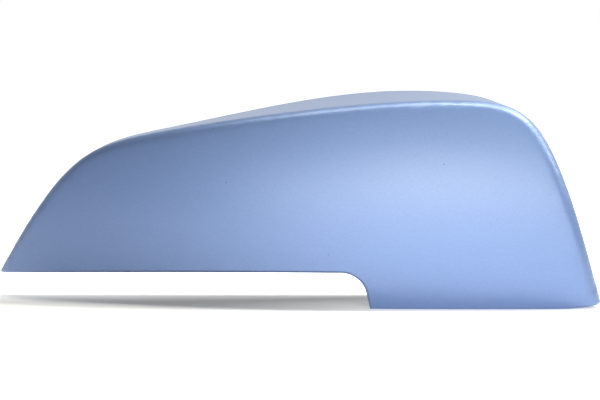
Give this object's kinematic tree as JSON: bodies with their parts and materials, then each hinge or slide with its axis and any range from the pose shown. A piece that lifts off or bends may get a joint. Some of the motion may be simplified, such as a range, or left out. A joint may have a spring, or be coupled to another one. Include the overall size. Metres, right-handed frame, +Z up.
{
  "type": "wing mirror cover",
  "caption": "Painted moulded cap for the back of a car door mirror, swept back to a slim outer tip, with a stepped lower edge and clips inside.",
  "frame": {"origin": "on the axis of the datum peg, at the middle of its fit length", "axes": "+X from the outer tip towards the inner end, +Y from the nose back to the rim, +Z up as on the car"},
  "size_m": [0.2144, 0.0699, 0.0747],
  "materials": {
    "painted_shell": "satin light blue metallic paint on moulded plastic"
  },
  "bodies": {
    "root": {"mirror_cover": "painted_shell"}
  },
  "joints": []
}
